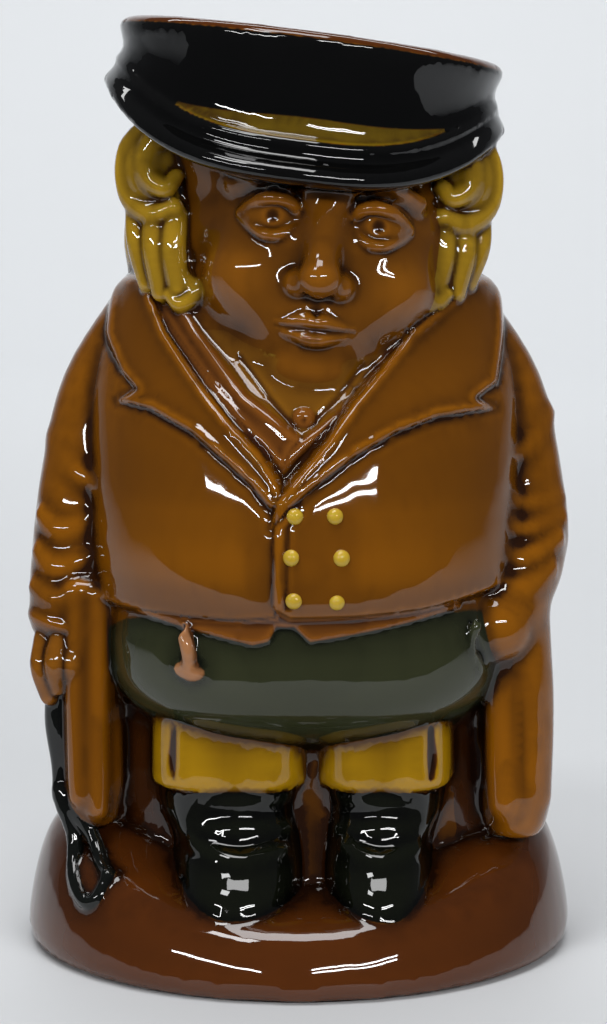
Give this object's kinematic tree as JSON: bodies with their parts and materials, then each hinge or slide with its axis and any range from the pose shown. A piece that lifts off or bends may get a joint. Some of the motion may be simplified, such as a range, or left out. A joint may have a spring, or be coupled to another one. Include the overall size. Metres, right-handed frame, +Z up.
{
  "type": "toby jug",
  "caption": "Glazed earthenware toby jug: a stout man in a long coat on a mound, hollow, his tilted hat the mouth, with a loop handle at the back.",
  "frame": {"origin": "on the standing plane, in the middle of the whole footprint with the handle", "axes": "+Z up; the figure faces -Y and the handle is on the +Y side; +X is on the right of someone who looks at the figure's face"},
  "size_m": [0.091, 0.103, 0.1518],
  "materials": {
    "treacle_glaze": "glossy treacle-brown glaze over earthenware, with black hat and boots, olive breeches and ochre hair, gaiters and buttons"
  },
  "bodies": {
    "root": {"toby_jug": "treacle_glaze"}
  },
  "joints": []
}
